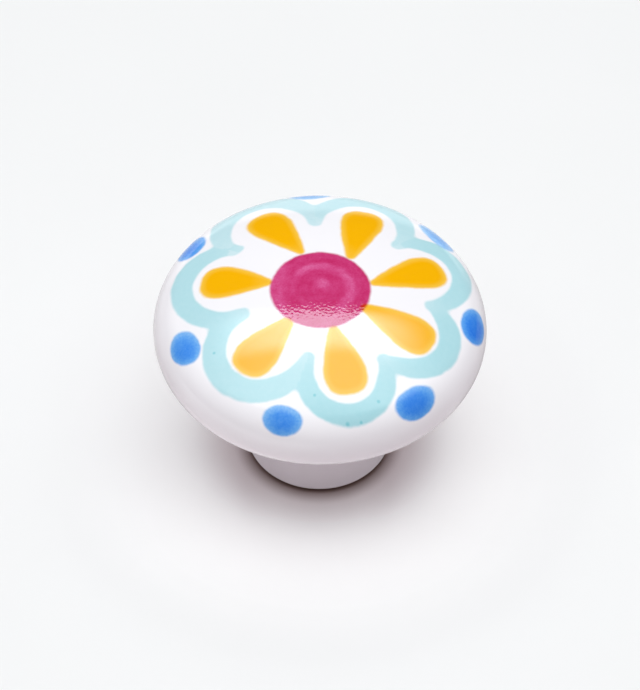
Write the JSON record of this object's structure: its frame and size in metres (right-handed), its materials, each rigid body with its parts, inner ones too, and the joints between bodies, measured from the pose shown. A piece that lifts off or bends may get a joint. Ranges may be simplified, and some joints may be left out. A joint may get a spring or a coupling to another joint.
{
  "type": "cabinet knob",
  "caption": "Round glazed ceramic knob with a low domed cap, short neck and painted daisy, screwed from behind a door or drawer front into a brass threaded insert in its foot.",
  "frame": {"origin": "middle of the foot's flat face, which meets the door or drawer front", "axes": "+Z along the knob's axis, from the foot to the top of the cap; -Y is the side that faces the picture's camera"},
  "size_m": [0.038, 0.038, 0.0266],
  "materials": {
    "glazed_ceramic": "white gloss glaze with hand-painted colours under it, bare biscuit on the foot's face",
    "insert_brass": "turned brass, dulled"
  },
  "bodies": {
    "root": {"ceramic_body": "glazed_ceramic", "threaded_insert": "insert_brass"}
  },
  "joints": []
}
